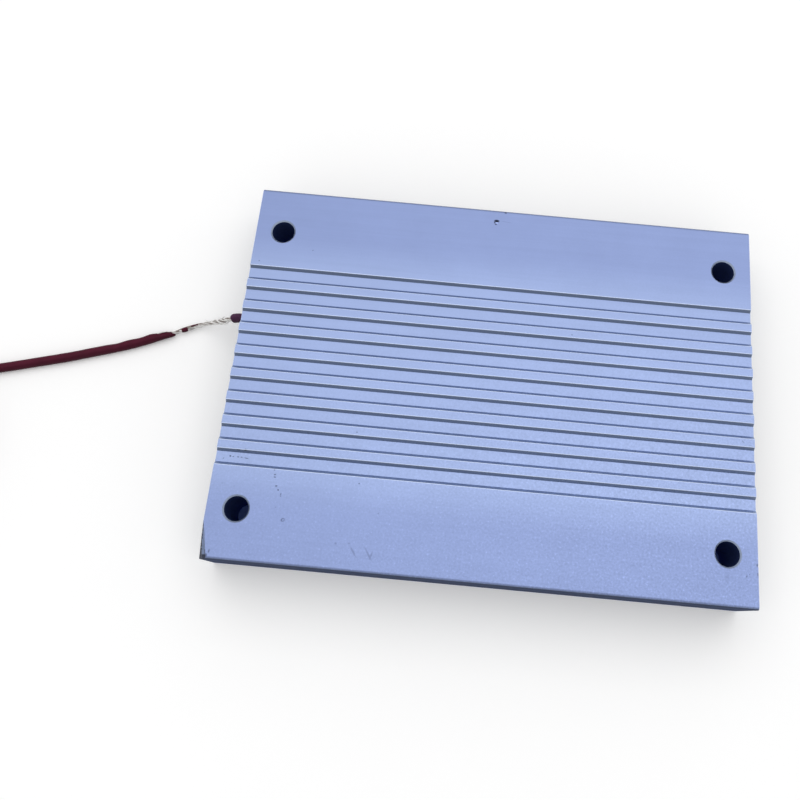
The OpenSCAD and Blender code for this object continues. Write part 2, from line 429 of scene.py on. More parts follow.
# Crushed facet: rows across it, and the shares of the way down it where its bands part
FACET_ROWS = 26
FACET_BANDS = (0.08, 0.16, 0.26, 0.36, 0.46, 0.6, 0.74, 0.88)
# Least share of its full height that the facet counts with towards its narrow end
FACET_TIP = 0.1
# Skin left on the facet: share along it where the skin starts, shares of the way down between which
# it lies, how much further down it goes at the narrow end, and how ragged it is
SKIN_START = 0.1
SKIN_FROM, SKIN_TO, SKIN_GROWTH = 0.16, 0.5, 0.25
SKIN_RAGGED, SKIN_LUMPS = 0.1, 2.3
# Folds along the facet: share of the way down, half width as such a share, height in millimetres
FOLDS = ((0.1, 0.1, -0.16), (0.42, 0.16, 0.16))
# Crumpling of the facet: lumps a millimetre and their height in millimetres
CRUMPLES = ((1.7, 0.1), (4.1, 0.06))


def crush_corner(size):
    """Takes off the knocked front left corner and crumples the facet that is left."""
    corner = Vector((-size.body_l / 2, -size.body_w / 2, size.body_h))
    front = corner + Vector((size.dent_x, 0, 0))
    back = corner + Vector((0, size.dent_y, 0))
    foot = corner - Vector((0, 0, size.dent_z))
    outward = (back - front).cross(foot - front).normalized()
    if outward.dot(corner - front) < 0:
        outward.negate()
    down_facet = outward.cross(back - front).normalized()
    if down_facet.dot(foot - front) < 0:
        down_facet.negate()
    drop = (foot - front).dot(down_facet)

    bpy.ops.mesh.select_all(action="SELECT")
    bpy.ops.mesh.bisect(plane_co=front, plane_no=outward, use_fill=True, clear_outer=True)

    def on_facet(face):
        return all(abs((v.co - front).dot(outward)) < NEAR for v in face.verts)

    for k in range(1, FACET_ROWS):
        pick("FACE", on_facet)
        bpy.ops.mesh.bisect(plane_co=corner.lerp(back, k / FACET_ROWS), plane_no=(0, 1, 0))
    for share in FACET_BANDS:
        pick("FACE", on_facet)
        bpy.ops.mesh.bisect(plane_co=front.lerp(foot, share), plane_no=down_facet)

    mesh = open_mesh()
    facet = [f for f in mesh.faces if on_facet(f)]
    inner = [v for v in {v for f in facet for v in f.verts} if all(f in facet for f in v.link_faces)]
    for face in facet:
        at = middle(face)
        along = (at.y - corner.y) / size.dent_y
        share = (at - front).dot(down_facet) / (drop * max(1 - along, FACET_TIP))
        share += SKIN_RAGGED * noise.noise(at * SKIN_LUMPS)
        skinned = along > SKIN_START and SKIN_FROM < share < SKIN_TO + SKIN_GROWTH * along
        # The crushed metal carries painted shade as well as its scuffs
        finish = "scuffed_skin" if skinned else "crushed_metal_and_shade"
        face.material_index = HOUSING_FINISHES.index(finish)
    for vert in inner:
        share = (vert.co - front).dot(down_facet) / drop
        lift = sum(height * bell(share, at, half) for at, half, height in FOLDS)
        lift += sum(noise.noise(vert.co * lumps) * height for lumps, height in CRUMPLES)
        narrowing = 1 - (vert.co.y - corner.y) / size.dent_y
        vert.co += outward * lift * max(0, narrowing)
    bmesh.update_edit_mesh(bpy.context.object.data)


# Nicks in the housing's edges and upper face: place in millimetres, radius of the knock
NICKS = (
    ((0, 39.95, 14.95), 0.42),
    ((-1.93, 37.28, 15.25), 0.4),
    ((55.22, -31.75, 15.1), 0.42),
    ((55.2, -33.5, 15.12), 0.32),
)


def knock(piece, place, radius, seed, ragged=0.2):
    """Knocks a small nick out of a piece, ragged by a share of its radius."""
    chip = add(
        bpy.ops.mesh.primitive_ico_sphere_add, subdivisions=2, radius=radius, location=place
    )
    edit(chip)
    bpy.ops.transform.vertex_random(offset=ragged * radius, seed=seed)
    close()
    cut(piece, chip)


def model_housing(size):
    """One extrusion with grooves, round long edges, a chamber, holes and its damage."""
    piece = add_block(
        (-size.body_l / 2, -size.body_w / 2, 0), (size.body_l / 2, size.body_w / 2, size.body_h)
    )
    coat(piece, *HOUSING_FINISHES)
    edit(piece)
    cut_grooves(size)
    round_long_edges(size.edge_r, segments=6)
    close()

    room = Vector((PAST, size.chamber_fit, size.chamber_fit))
    reach = Vector((size.body_l / 2, SEAL_HIGH.y, SEAL_HIGH.z)) + room
    low = Vector((-reach.x, -reach.y, size.body_h - reach.z))
    chamber = add_block(low, reach)
    edit(chamber)
    round_long_edges(size.chamber_r, segments=4)
    close()
    cut(piece, chamber)
    for place in hole_places(size):
        drill = add(
            bpy.ops.mesh.primitive_cylinder_add,
            vertices=64,
            radius=size.hole_r,
            depth=size.body_h + 2 * PAST,
            location=(place.x, place.y, size.body_h / 2),
        )
        cut(piece, drill)

    edit(piece)
    mark_faces(size)
    chamfer_holes(size)
    break_edges(size)
    crush_corner(size)
    bpy.ops.mesh.select_all(action="SELECT")
    bpy.ops.mesh.normals_make_consistent(inside=False)
    close()
    for seed, (place, radius) in enumerate(NICKS):
        knock(piece, place, radius, seed)
    smooth(piece, degrees=30)
    return piece


class RESISTOR_OT_housing(bpy.types.Operator):
    """Build the grooved aluminium housing"""

    bl_idname = "resistor.housing"
    bl_label = "Housing"

    def execute(self, context):
        piece = model_housing(sizes_mm(context))
        settle(piece, "grooved_housing", "anodised", "housing")
        return {"FINISHED"}


# Seals

# Hollow of a seal's outer face, from its rim inward: width of a step and how far it sinks
DISH = ((0.2, 0.05), (0.3, 0.1), (0.5, 0.1), (0.7, 0.05))


def model_seal(size, node, outward, outlets):
    """Cast seal with a hollow outer face, and round outlets through it."""
    low, high = box_mm(node)
    piece = add_block(low, high)
    edit(piece)
    round_long_edges(size.chamber_r, segments=4)
    face_x = high.x if outward > 0 else low.x

    def is_face(face):
        return face.normal.x * outward > FACING and abs(middle(face).x - face_x) < NEAR

    pick("FACE", is_face)
    middle_at = (low + high) / 2
    half_y, half_z = (high.y - low.y) / 2, (high.z - low.z) / 2
    for width, sink in DISH:
        bpy.ops.mesh.extrude_region_move(
            TRANSFORM_OT_translate={"value": (-outward * sink, 0, 0)}
        )
        bpy.ops.transform.resize(
            value=(1, 1 - width / half_y, 1 - width / half_z), center_override=middle_at
        )
        half_y, half_z = half_y - width, half_z - width
    close()
    for y in outlets:
        drill = add(
            bpy.ops.mesh.primitive_cylinder_add,
            vertices=40,
            radius=size.lead_d / 2 + size.chamber_fit,
            depth=2 * (high.x - low.x),
            location=((low.x + high.x) / 2, y, (low.z + high.z) / 2),
            rotation=(0, math.pi / 2, 0),
        )
        cut(piece, drill)
    smooth(piece, degrees=35)
    return piece


class RESISTOR_OT_seals(bpy.types.Operator):
    """Cast the seals at both ends of the chamber"""

    bl_idname = "resistor.seals"
    bl_label = "End seals"

    def execute(self, context):
        size = sizes_mm(context)
        outlet = LEAD_ROUTE[0].y
        for node, outward, outlets in (
            ("left_seal", -1, (-outlet, outlet)),
            ("right_seal", 1, ()),
        ):
            piece = model_seal(size, node, outward, outlets)
            coat(piece, "seal")
            settle(piece, "cast_" + node, "seal", node)
        return {"FINISHED"}


# Lead

# The lead in millimetres, as the solids have it: where it starts, at the seal's inner face, and where
# it comes out, its place across, its radius, its height there, and thickness of the tie under its coil
START_X = -47.5
END_X = HOUSING_LOW.x
LEAD_Y = 11.25
LEAD_R = 1.05
MID_Z = 7.5
TIE_T = 0.9


def out(d):
    """Place along X at a distance from the housing's left end."""
    return END_X - d


def down(share):
    """Height on the way from the table to the lead's outlet."""
    return LEAD_R + share * (MID_Z - LEAD_R)


def up(share):
    """Height on the way from the table to the coil, which lies on its tie."""
    return LEAD_R + share * TIE_T


# Route of the lead in millimetres, the same points as the solids follow
LEAD_ROUTE = [
    Vector(p)
    for p in (
        (START_X, LEAD_Y, MID_Z),
        (out(0), LEAD_Y, MID_Z),
        (out(2), LEAD_Y + 0.25, down(0.97)),
        (out(4), LEAD_Y + 0.1, down(0.86)),
        (out(6), LEAD_Y - 0.05, down(0.65)),
        (out(8), LEAD_Y - 0.05, down(0.36)),
        (out(10), LEAD_Y - 0.1, down(0.15)),
        (out(12), LEAD_Y - 0.45, down(0.04)),
        (out(14), LEAD_Y - 1.05, LEAD_R),
        (out(16), LEAD_Y - 1.95, LEAD_R),
        (out(18), LEAD_Y - 3.05, LEAD_R),
        (out(20), LEAD_Y - 3.75, LEAD_R),
        (out(23), LEAD_Y - 4.9, LEAD_R),
        (out(27), LEAD_Y - 6.5, LEAD_R),
        (out(31), LEAD_Y - 7.85, LEAD_R),
        (out(35), LEAD_Y - 9.1, LEAD_R),
        (out(40), LEAD_Y - 10.65, LEAD_R),
        (out(46), LEAD_Y - 12.3, LEAD_R),
        (out(51), LEAD_Y - 13.65, LEAD_R),
        (out(55), LEAD_Y - 14.7, LEAD_R),
        (out(59), LEAD_Y - 15.75, up(0.1)),
        (out(64), LEAD_Y - 16.85, up(0.5)),
        (out(71), LEAD_Y - 17.75, up(1)),
    )
]
# Points of the route by which the insulation ends and starts again, and how far past the second one
STUB_TEAR, RUN_TEAR, PAST_RUN_TEAR = 3, 10, 0.7
# Radius at which the lead comes into its coil
COIL_R = 15.5
# The coil in order: number of turns, radius where they end, and layer where they end
COIL_TURNS = (
    (0.5, 15.2, 0),
    (0.5, 13, 0),
    (0.5, 12.7, 0),
    (0.5, 10.5, 0),
    (0.5, 9.9, 0),
    (0.5, 9, 1),
    (2.25, 14.9, 1),
)
# Middle of the coil, in front of the route's last point
COIL_AT = LEAD_ROUTE[-1] - Vector((0, COIL_R, 0))
# Radius of the ferrule's flare, and how far the lead's core reaches into the ferrule
FERRULE_R = 1.4
FERRULE_GRIP = 4
# Tail of the lead: its place along X, and its points from the coil down to the ferrule's mouth
TAIL_X = out(84.8 + LEAD_R)
TAIL_ROUTE = [
    Vector(p)
    for p in (
        (TAIL_X, LEAD_Y - 37.25, 4.2),
        (TAIL_X, LEAD_Y - 42.7, 3.1),
        (TAIL_X, LEAD_Y - 45.25, 2),
        (TAIL_X, LEAD_Y - 47.5, FERRULE_R),
        (TAIL_X, LEAD_Y - 49.25, FERRULE_R),
    )
]
# Distance between points of the centreline along its route, and the points of one turn
ROUTE_STEP = 0.25
TURN_POINTS = 60


def through(points):
    """Points a step apart on the smooth curve through given points."""
    fine = []
    for i in range(len(points) - 1):
        before, start = points[max(i - 1, 0)], points[i]
        end, after = points[i + 1], points[min(i + 2, len(points) - 1)]
        count = max(2, int((end - start).length / ROUTE_STEP))
        for k in range(count):
            t = k / count
            slope = (end - before) * t
            bend = (2 * before - 5 * start + 4 * end - after) * t * t
            turn = (3 * start - before - 3 * end + after) * t**3
            fine.append(0.5 * (2 * start + slope + bend + turn))
    fine.append(points[-1].copy())
    return fine


def winding(turns, r0, r1, z0, z1, start):
    """Points of a flat or climbing spiral round the coil's middle, from a start angle."""
    count = int(turns * TURN_POINTS)
    points = []
    for k in range(1, count + 1):
        share = k / count
        angle = start + 2 * math.pi * turns * share
        r = r0 + (r1 - r0) * share
        ease = share * share * (3 - 2 * share)
        x, y = COIL_AT.x + r * math.cos(angle), COIL_AT.y + r * math.sin(angle)
        points.append(Vector((x, y, z0 + (z1 - z0) * ease)))
    return points


def lead_line():
    """The lead's whole centreline: route, two layers of turns and the tail to the ferrule."""
    line = through(LEAD_ROUTE)
    low = LEAD_ROUTE[-1].z
    r, z, angle = COIL_R, low, math.pi / 2
    for turns, end_r, layer in COIL_TURNS:
        end_z = low + layer * 2 * LEAD_R
        line += winding(turns, r, end_r, z, end_z, angle)
        r, z, angle = end_r, end_z, angle + 2 * math.pi * turns
    inside = TAIL_ROUTE[-1] - Vector((0, FERRULE_GRIP, 0))
    line += through([line[-1], *TAIL_ROUTE, inside])[1:]
    return line


class Line:
    """A centreline that can be asked for its place and direction at a length along it."""

    def __init__(self, points):
        self.points = points
        self.at = [0.0]
        for a, b in zip(points, points[1:]):
            self.at.append(self.at[-1] + (b - a).length)
        self.length = self.at[-1]

    def place(self, s):
        """Point at a length along the line."""
        s = min(max(s, 0), self.length)
        low, high = 0, len(self.at) - 1
        while high - low > 1:
            mid = (low + high) // 2
            if self.at[mid] <= s:
                low = mid
            else:
                high = mid
        span = self.at[high] - self.at[low]
        return self.points[low].lerp(self.points[high], (s - self.at[low]) / span)

    def axes(self, s):
        """Direction of the line, its side and its upper side at a length along it."""
        reach = 0.3
        along = (self.place(s + reach) - self.place(s - reach)).normalized()
        side = Vector((0, 0, 1)).cross(along).normalized()
        return along, side, along.cross(side)

    def nearest(self, point):
        """Length along the line that lies nearest to a point."""
        k = min(range(len(self.points)), key=lambda i: (self.points[i] - point).length)
        return self.at[k]


def tears(line):
    """Lengths along the lead at which its insulation ends and starts again."""
    return line.nearest(LEAD_ROUTE[STUB_TEAR]), line.nearest(LEAD_ROUTE[RUN_TEAR]) + PAST_RUN_TEAR


# Sides of the lead's tube, and distances from ring to ring on the stub, the core and the run
SIDES = 16
STUB_STEP, CORE_STEP, RUN_STEP = 0.6, 0.5, 0.8
# Torn ends of the stub and the run: distance of a ring along the lead from the tear, share of the
# full radius, and its tear, which is how far its front side reaches back
STUB_END = (
    (-0.7, 0.99, 0.1),
    (-0.35, 0.93, 0.3),
    (-0.1, 0.82, 0.4),
    (0, 0.68, 0.4),
    (-0.05, 0.5, 0.4),
)
RUN_END = (
    (0.02, 0.46, 1.3),
    (0, 0.6, 1.35),
    (0.12, 0.7, 1.3),
    (0.4, 0.8, 1.0),
    (0.8, 0.88, 0.6),
    (1.3, 0.95, 0.2),
)
# Distances from the tears to the whole insulation, and how far inside the stub, the run and the
# ferrule the core has its first or last ring
STUB_WHOLE, RUN_WHOLE = 0.9, 1.8
CORE_IN_STUB, CORE_IN_RUN, CORE_IN_FERRULE = 0.5, 0.6, 0.05


def lead_stations(line, size):
    """Rings of the lead from its outlet to its end: length along it, radius, tear and finish."""
    r, core = size.lead_d / 2, size.core_d / 2
    stub, run = tears(line)
    end = line.nearest(TAIL_ROUTE[-1])
    rings = [(k * STUB_STEP, r, 0, 0) for k in range(int((stub - STUB_WHOLE) / STUB_STEP) + 1)]
    rings += [(stub + at, share * r, tear, 0) for at, share, tear in STUB_END]
    rings.append((stub - CORE_IN_STUB, core, 0, 1))
    count = int((run - stub) / CORE_STEP)
    bare = run + CORE_IN_RUN - stub
    rings += [(stub + bare * k / count, core, 0, 1) for k in range(1, count + 1)]
    rings += [(run + at, share * r, tear, 0) for at, share, tear in RUN_END]
    first = run + RUN_WHOLE
    count = int((end - run - RUN_WHOLE) / RUN_STEP)
    rings += [(first + (end - first) * k / count, r, 0, 0) for k in range(count + 1)]
    rings += [(end + CORE_IN_FERRULE, core, 0, 1), (line.length, core, 0, 1)]
    return rings


# Lumps and hollows on the insulation: place along X in millimetres, half length, height,
# and 1 for the upper and back side or -1 for the lower and front side
LUMPS = (
    (-84.8, 1.3, -0.12, 1),
    (-82.2, 0.9, 0.08, 1),
    (-79.6, 1.0, -0.12, 1),
    (-77.4, 0.7, 0.1, 1),
    (-75.2, 1.4, -0.22, 1),
    (-75.2, 1.9, -0.2, -1),
)
# Shares of up and back in the direction of the upper and back side
UPWARD, BACKWARD = 0.6, 0.8
# Unevenness of the insulation and of the core: height in millimetres and lumps a millimetre
INSULATION_UNEVEN, INSULATION_SCALE = 0.025, 0.9
CORE_UNEVEN, CORE_SCALE = 0.05, 3
# Torn rims: raggedness in millimetres, its lumps round the lead, and the angle round the lead, from
# its front side, at which they reach back furthest
RIM_RAGGED, RIM_SCALE, RIM_TURN = 0.35, 3, 0.4


def lump(place, upper):
    """How far the insulation stands out at a place; upper is 1 on its upper and back side."""
    height = sum(h * bell(place.x, x, half) * max(0, upper * way) for x, half, h, way in LUMPS)
    return height + INSULATION_UNEVEN * noise.noise(place * INSULATION_SCALE)


def lead_mesh(line, size):
    """Tube along the lead, torn where its insulation is gone, and the centres of its rings."""
    verts, faces, finishes, centres = [], [], [], []
    for s, r, tear, finish in lead_stations(line, size):
        centre = line.place(s)
        along, side, above = line.axes(s)
        centres.append(centre)
        core_lump = CORE_UNEVEN * noise.noise(centre * CORE_SCALE)
        for k in range(SIDES):
            a = 2 * math.pi * k / SIDES
            across, upright = math.cos(a), math.sin(a)
            wave = noise.noise(Vector((RIM_SCALE * across, RIM_SCALE * upright, s)))
            shift = wave * RIM_RAGGED * min(1, tear) - tear * (1 + math.cos(a - RIM_TURN)) / 2
            upper = UPWARD * upright - BACKWARD * across
            thick = r + (core_lump if finish else lump(centre, upper))
            verts.append(centre + along * shift + thick * (across * side + upright * above))
        finishes.append(finish)
    rows = len(finishes)
    numbers = []
    for i in range(rows - 1):
        for k in range(SIDES):
            j = (k + 1) % SIDES
            faces.append((i * SIDES + k, i * SIDES + j, (i + 1) * SIDES + j, (i + 1) * SIDES + k))
            numbers.append(min(finishes[i], finishes[i + 1]))
    # Caps: the first on insulation, the last on the core
    faces.append(tuple(range(SIDES))[::-1])
    faces.append(tuple((rows - 1) * SIDES + k for k in range(SIDES)))
    numbers += [0, 1]
    mesh = bpy.data.meshes.new("lead")
    mesh.from_pydata([v * MM for v in verts], [], faces)
    for polygon, number in zip(mesh.polygons, numbers):
        polygon.material_index = number
    return mesh, centres


def strand_curve(name, strands, radius):
    """One curve object of many fine round strands, made a mesh, in metres."""
    curve = bpy.data.curves.new(name, "CURVE")
    curve.dimensions = "3D"
    curve.bevel_depth = radius * MM
    curve.bevel_resolution = 1
    curve.use_fill_caps = True
    for points, thickness in strands:
        spline = curve.splines.new("POLY")
        spline.points.add(len(points) - 1)
        for target, point in zip(spline.points, points):
            target.co = (*(point * MM), 1)
            target.radius = thickness
    piece = bpy.data.objects.new(name, curve)
    bpy.context.scene.collection.objects.link(piece)
    choose(piece)
    bpy.ops.object.convert(target="MESH")
    bpy.ops.object.shade_smooth()
    return bpy.context.object


# Scraps of insulation left on the bare strands: name, place along X, how far to the front of the
# lead's middle and above it, radius and length in millimetres
SCRAPS = (
    ("insulation_scrap", -70.5, 0.2, 0.1, 0.54, 1.55),
    ("insulation_sliver", -68.1, -0.05, 0.42, 0.2, 1.7),
)
# Place across at which the scraps are on the lead
SCRAP_Y = LEAD_Y - 1.5
# Twist of the bare strands: their number, points on each, length of one turn, distance from the
# lead's middle, how far they start inside the stub, and what they are longer than the gap
STRANDS = 9
STRAND_POINTS = 60
LAY = 8.5
TWIST_R = 0.38
IN_STUB = 0.5
SPARE = 0.9
# What differs from strand to strand: turn round the lead, bulge, place in the noise, thickness, all
# drawn from one seed
PHASES, BULGES, SEEDS, THICKNESSES = (-0.3, 0.3), (0.05, 0.6), (0, 50), (0.8, 1.05)
STRAND_SEED = 7
# How a strand wanders round the twist and in and out of it: amount and waves a millimetre
WANDER, WANDER_SCALE = 0.9, 0.35
STIR, STIR_SCALE, BULGE_STIR = 0.14, 1.1, 0.5
# Loose bulge: share of the way along the gap and half width as such a share
BULGE_AT, BULGE_HALF = 0.2, 0.14
# Waist in the first scrap and sag beside it: distance from the scrap, half width and depth
WAIST = (0, 1.3, 0.16)
SAG = (1.1, 1.9, 0.28)
# Stray ends: their number, points on each, and distance from the lead's middle at their roots
STRAYS = 14
STRAY_POINTS = 8
STRAY_ROOT = 0.4
# What differs from one stray end to the next: share of the gap, length, height and thickness
STRAY_PLACES, STRAY_LENGTHS, STRAY_HEIGHTS = (0.02, 0.6), (1.0, 2.6), (0.3, 0.75)
STRAY_THICKNESSES = (0.3, 0.5)
# Strand ends that lie back over the insulation: first and last place along X, angle round the lead
RESTING = ((-72.9, -76.9, 2.75), (-73.1, -75.8, 2.35))
RESTING_POINTS = 12
# Place across of their roots, and how far it slides to the front along them
RESTING_Y, RESTING_SLIDE = LEAD_Y - 3.3, 1.2
# Their distance from the lead's middle at the root and past a third of their length, and thickness
RESTING_ROOT, RESTING_R, RESTING_THICKNESS = 0.5, LEAD_R - 0.12, 0.8


def beside_scrap(at, form):
    """Depth of the waist or the sag at a place."""
    distance, half, depth = form
    return depth * bell(at.x, SCRAPS[0][1] + distance, half)


def twisted_strands(line, dice):
    """The bare strands: a loose twist that bulges near the stub, and stray ends."""
    start, end = tears(line)
    strands = []
    for k in range(STRANDS):
        phase = 2 * math.pi * k / STRANDS + dice.uniform(*PHASES)
        loose, seed = dice.uniform(*BULGES), dice.uniform(*SEEDS)
        points = []
        for i in range(STRAND_POINTS + 1):
            u = i / STRAND_POINTS
            s = start - IN_STUB + (end + SPARE - start) * u
            at = line.place(s)
            _, side, above = line.axes(s)
            wander = WANDER * noise.noise(Vector((WANDER_SCALE * s, seed, 0)))
            a = phase + 2 * math.pi * s / LAY + wander
            bulge = loose * bell(u, BULGE_AT, BULGE_HALF)
            stir = (STIR + BULGE_STIR * bulge) * noise.noise(Vector((STIR_SCALE * s, seed, 4)))
            r = TWIST_R - beside_scrap(at, WAIST) + bulge + stir
            sag = beside_scrap(at, SAG)
            points.append(at + (r * math.cos(a) + sag) * side + r * math.sin(a) * above)
        strands.append((points, dice.uniform(*THICKNESSES)))
    for _ in range(STRAYS):
        s = start + (end - start) * dice.uniform(*STRAY_PLACES)
        along, side, above = line.axes(s)
        a = dice.uniform(0, 2 * math.pi)
        away = math.cos(a) * side + math.sin(a) * abs(math.sin(a)) * above
        heading = along * dice.choice((-1, 1))
        reach, stand = dice.uniform(*STRAY_LENGTHS), dice.uniform(*STRAY_HEIGHTS)
        points = []
        for k in range(STRAY_POINTS + 1):
            u = k / STRAY_POINTS
            points.append(line.place(s) + away * (STRAY_ROOT + stand * u * u) + heading * reach * u)
        strands.append((points, dice.uniform(*STRAY_THICKNESSES)))
    return strands


def resting_strands(line):
    """Strand ends that lie back over the insulation behind its torn end."""
    strands = []
    for x0, x1, angle in RESTING:
        points = []
        for k in range(RESTING_POINTS + 1):
            u = k / RESTING_POINTS
            root = Vector((x0, RESTING_Y - RESTING_SLIDE * u, LEAD_R))
            s = line.nearest(root) + abs(x1 - x0) * u
            _, side, above = line.axes(s)
            r = RESTING_ROOT + (RESTING_R - RESTING_ROOT) * min(1, 3 * u)
            points.append(line.place(s) + r * (math.cos(angle) * side + math.sin(angle) * above))
        strands.append((points, RESTING_THICKNESS))
    return strands


def model_scrap(line, x, front, rise, radius, depth):
    """Short torn sleeve of insulation round the bare strands, narrower towards its ends."""
    narrowing, ragged = 0.75 * radius, 0.25 * radius
    s = line.nearest(Vector((x, SCRAP_Y, LEAD_R)))
    along, side, above = line.axes(s)
    turn = Vector((0, 0, 1)).rotation_difference(along).to_euler()
    piece = add(
        bpy.ops.mesh.primitive_cylinder_add,
        vertices=14,
        radius=radius,
        depth=depth,
        location=line.place(s) + front * side + rise * above,
        rotation=turn,
    )
    edit(piece)

    def is_rim(edge):
        return any(len(face.verts) > 4 for face in edge.link_faces)

    pick("EDGE", is_rim)
    bpy.ops.mesh.bevel(offset=narrowing, segments=3, affect="EDGES")
    bpy.ops.mesh.select_all(action="SELECT")
    bpy.ops.mesh.subdivide(number_cuts=1)
    bpy.ops.transform.vertex_random(offset=ragged, seed=4)
    close()
    apply(piece, "SUBSURF", levels=1, render_levels=1)
    smooth(piece, degrees=60)
    return piece


class RESISTOR_OT_lead(bpy.types.Operator):
    """Lay the worn lead along its route, with its coil, bare strands and scraps"""

    bl_idname = "resistor.lead"
    bl_label = "Lead"

    def execute(self, context):
        size = sizes_mm(context)
        dice = random.Random(STRAND_SEED)
        line = Line(lead_line())
        mesh, centres = lead_mesh(line, size)
        lead = bpy.data.objects.new("worn_lead", mesh)
        context.scene.collection.objects.link(lead)
        coat(lead, *LEAD_FINISHES)
        smooth(lead, degrees=50)
        mount(lead, "worn_lead", "insulation", *LEAD_NODES)
        bare = strand_curve(
            "frayed_strands", twisted_strands(line, dice) + resting_strands(line), size.strand_d / 2
        )
        coat(bare, "strands")
        mount(bare, "frayed_strands", "strands")
        for name, *form in SCRAPS:
            scrap = model_scrap(line, *form)
            coat(scrap, "insulation")
            settle(scrap, name, "insulation")
        return {"FINISHED"}


# Tie and ferrule


def model_tie():
    """Flat strap that slants to the outer turn, with its locking head and its cut end."""
    low, high = box_mm("coil_tie")
    strap_w, wall = 2.5, TIE_T - 0.1
    slant, corner_r, edge_r = 3.5, 1.1, 0.18
    head_h, head_half, head_sunk = 2.5, 2, 0.2
    head_rim, head_hollow, head_edge_r = 0.5, 0.5, 0.22
    stub_from, stub_to, stub_low, stub_high, stub_edge_r = 1.2, 3.4, 0.75, 1.55, 0.15
    x = (low.x + high.x) / 2
    top = high.z - head_h
    piece = add_block((x - strap_w / 2, low.y, low.z), (x + strap_w / 2, high.y, top))
    edit(piece)

    def is_outer_top(edge):
        at = middle(edge)
        return runs_along(edge, 0) and at.y < low.y + NEAR and at.z > top - NEAR

    pick("EDGE", is_outer_top)
    bpy.ops.mesh.bevel(offset=slant, segments=1, affect="EDGES")
    pick("EDGE", lambda edge: runs_along(edge, 0))
    bpy.ops.mesh.bevel(offset=corner_r, segments=5, affect="EDGES")
    pick("FACE", lambda f: abs(f.normal.x) > FACING)
    bpy.ops.mesh.delete(type="FACE")
    close()
    apply(piece, "SOLIDIFY", thickness=wall, offset=-1)
    apply(piece, "BEVEL", width=edge_r, segments=2, limit_method="ANGLE")

    middle_y = (low.y + high.y) / 2
    head = add_block(
        (low.x, middle_y - head_half, top - head_sunk), (high.x, middle_y + head_half, high.z)
    )
    edit(head)
    pick("FACE", lambda f: abs(f.normal.y) > FACING)
    bpy.ops.mesh.inset(thickness=head_rim, use_individual=True)
    bpy.ops.mesh.extrude_region_shrink_fatten(TRANSFORM_OT_shrink_fatten={"value": -head_hollow})
    close()
    apply(head, "BEVEL", width=head_edge_r, segments=3, limit_method="ANGLE")
    stub = add_block(
        (x - strap_w / 2, middle_y + stub_from, top + stub_low),
        (x + strap_w / 2, middle_y + stub_to, top + stub_high),
    )
    apply(stub, "BEVEL", width=stub_edge_r, segments=2, limit_method="ANGLE")
    bpy.ops.object.select_all(action="DESELECT")
    for part in (piece, head, stub):
        part.select_set(True)
    bpy.context.view_layer.objects.active = piece
    bpy.ops.object.join()
    smooth(piece, degrees=40)
    return piece


# Ferrule: radius at its mouth and of its sleeve, and how a crimp changes the sleeve's width and height
MOUTH_R, SLEEVE_R = 1.25, 0.9
ROUND, CRIMPED = (1, 1), (1.12, 0.78)
# Its rings from the mouth to the end: distance, radius and form
FERRULE_RINGS = (
    (0.35, FERRULE_R, ROUND),
    (0.9, 1.36, ROUND),
    (1.9, SLEEVE_R, ROUND),
    (2.4, SLEEVE_R, ROUND),
    (2.8, SLEEVE_R, CRIMPED),
    (3.5, SLEEVE_R, CRIMPED),
    (3.9, SLEEVE_R, ROUND),
    (4.5, SLEEVE_R, ROUND),
    (4.9, SLEEVE_R, CRIMPED),
    (5.6, SLEEVE_R, CRIMPED),
    (6, SLEEVE_R, ROUND),
    (7.8, SLEEVE_R, ROUND),
    (8, 0.8, ROUND),
)


def model_ferrule():
    """Crimped sleeve with a flared mouth, drawn out ring by ring from a disc."""
    mouth = TAIL_ROUTE[-1]
    wall, hollow = 0.16, 0.25
    piece = add(
        bpy.ops.mesh.primitive_circle_add,
        vertices=32,
        radius=MOUTH_R,
        fill_type="NGON",
        location=mouth,
        rotation=(math.pi / 2, 0, 0),
    )
    edit(piece)
    before, half_w, half_h = 0, MOUTH_R, MOUTH_R
    for at, r, (wide, tall) in FERRULE_RINGS:
        bpy.ops.mesh.extrude_region_move(TRANSFORM_OT_translate={"value": (0, before - at, 0)})
        bpy.ops.transform.resize(
            value=(r * wide / half_w, 1, r * tall / half_h), center_override=mouth - Vector((0, at, 0))
        )
        before, half_w, half_h = at, r * wide, r * tall
    bpy.ops.mesh.inset(thickness=wall)
    bpy.ops.transform.translate(value=(0, hollow, 0))
    bpy.ops.mesh.select_all(action="SELECT")
    bpy.ops.mesh.normals_make_consistent(inside=False)
    close()
    smooth(piece, degrees=40)
    return piece


class RESISTOR_OT_lead_fittings(bpy.types.Operator):
    """Make the tie round the coil and the ferrule on the lead's end"""

    bl_idname = "resistor.lead_fittings"
    bl_label = "Tie and ferrule"

    def execute(self, context):
        tie = model_tie()
        coat(tie, "tie")
        settle(tie, "strap_tie", "tie", "coil_tie")
        ferrule = model_ferrule()
        coat(ferrule, "tinned")
        settle(ferrule, "crimped_ferrule", "tinned", "end_ferrule")
        return {"FINISHED"}


# Finishes

# Stretches of a mottling: none, lines along X, upright saw marks, thin flakes, rolled lines along Y
EVEN = (1, 1, 1)
DRAWN = (0.02, 1, 1)
SAWN = (1, 1, 0.06)
FLAKY = (1, 1, 6)
ROLLED = (1, 0.05, 1)


def feed(tree, socket, value):
    """Sets an input to a value, or links it to a socket."""
    if isinstance(value, bpy.types.NodeSocket):
        tree.links.new(value, socket)
    else:
        socket.default_value = value


def put(tree, kind, inputs=None, **settings):
    """Adds a node, with its settings, and its inputs as values or as sockets to link."""
    node = tree.nodes.new(kind)
    for name, value in settings.items():
        setattr(node, name, value)
    for name, value in (inputs or {}).items():
        feed(tree, node.inputs[name], value)
    return node


